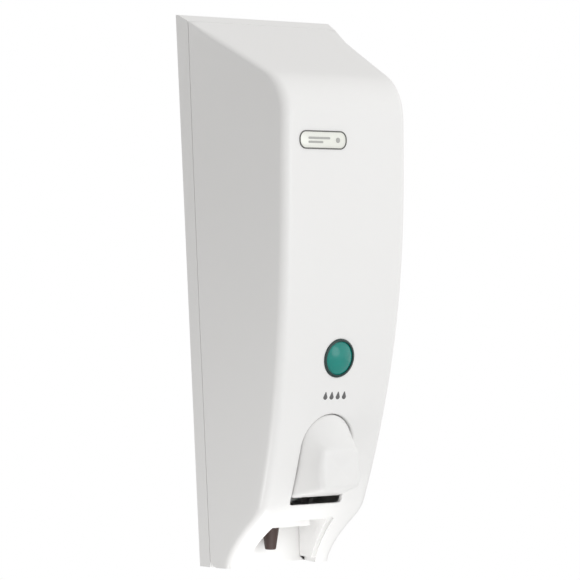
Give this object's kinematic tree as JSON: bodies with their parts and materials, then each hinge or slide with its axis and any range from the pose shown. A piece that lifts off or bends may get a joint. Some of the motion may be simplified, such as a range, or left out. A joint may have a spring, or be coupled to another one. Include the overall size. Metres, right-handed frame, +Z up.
{
  "type": "wall mounted soap dispenser",
  "caption": "Tapered white wall dispenser with a drop-front cover, refillable tank, green sight window and thumb lever pump over a hand notch.",
  "frame": {"origin": "centre of the four wall screw holes, on the wall plane", "axes": "+Z up, -Y out of the wall towards the user, +X to the right seen from the front"},
  "size_m": [0.1004, 0.075, 0.28],
  "materials": {
    "white_gloss": "glossy white moulded ABS",
    "button_white": "glossy white moulded ABS, worn a little smoother at the thumb pad",
    "natural_plastic": "satin off-white polypropylene",
    "clear_tank": "translucent frosted polyethylene",
    "steel": "bright steel",
    "grey_rubber": "soft dark rubber",
    "brown_rubber": "dark brown satin rubber",
    "green_lens": "polished green translucent plastic",
    "dark_ring": "dark green-black rubber",
    "badge_silver": "silvery foil under clear lacquer",
    "badge_edge": "dark grey gloss edge",
    "grey_ink": "dark grey pad print"
  },
  "bodies": {
    "base": {"back_plate": "white_gloss", "bracket": "natural_plastic", "bracket_screws": "steel", "cover_catch": "steel", "pump_body": "natural_plastic", "pump_gland": "natural_plastic", "pump_screws": "steel", "inlet_cage": "natural_plastic", "inlet_seat": "natural_plastic", "outlet_valve": "grey_rubber", "nozzle": "brown_rubber", "drip_shield": "white_gloss", "tank": "clear_tank", "tank_seal": "grey_rubber", "pump_spring": "steel"},
    "cover": {"front_cover": "white_gloss", "lens": "green_lens", "lens_seal": "dark_ring", "lens_clip": "natural_plastic", "badge_plate": "badge_silver", "badge_rim": "badge_edge", "drop_mark": "grey_ink", "button_pin": "steel"},
    "button": {"push_button": "button_white"},
    "plunger": {"plunger": "natural_plastic", "piston_seal": "grey_rubber"},
    "cap": {"tank_cap": "natural_plastic", "cap_gasket": "grey_rubber"},
    "ball": {"inlet_ball": "steel"}
  },
  "joints": [
    {"name": "cover_hinge", "type": "hinge", "parent": "base", "child": "cover", "pos_m": [0, -0.0121, -0.172], "axis": [1, 0, 0], "range_deg": [0, 90]},
    {"name": "button_press", "type": "hinge", "parent": "cover", "child": "button", "pos_m": [0, -0.0541, -0.103], "axis": [1, 0, 0], "range_deg": [0, 12], "stiffness_Nm_per_rad": 0.3, "springref_deg": -8.59},
    {"name": "plunger_stroke", "type": "slide", "parent": "base", "child": "plunger", "axis": [0, 1, 0], "range_m": [0, 0.0057], "deforming": ["pump_spring"]},
    {"name": "cap_turn", "type": "hinge", "parent": "base", "child": "cap", "pos_m": [0, -0.033, 0.066], "axis": [0, 0, 1], "range_deg": [0, 60]},
    {"name": "ball_lift", "type": "slide", "parent": "base", "child": "ball", "axis": [0, 0, 1], "range_m": [0, 0.0015]}
  ],
  "couplings": [
    {"joint": "plunger_stroke", "follows": "button_press", "m_per_rad": 0.027}
  ]
}
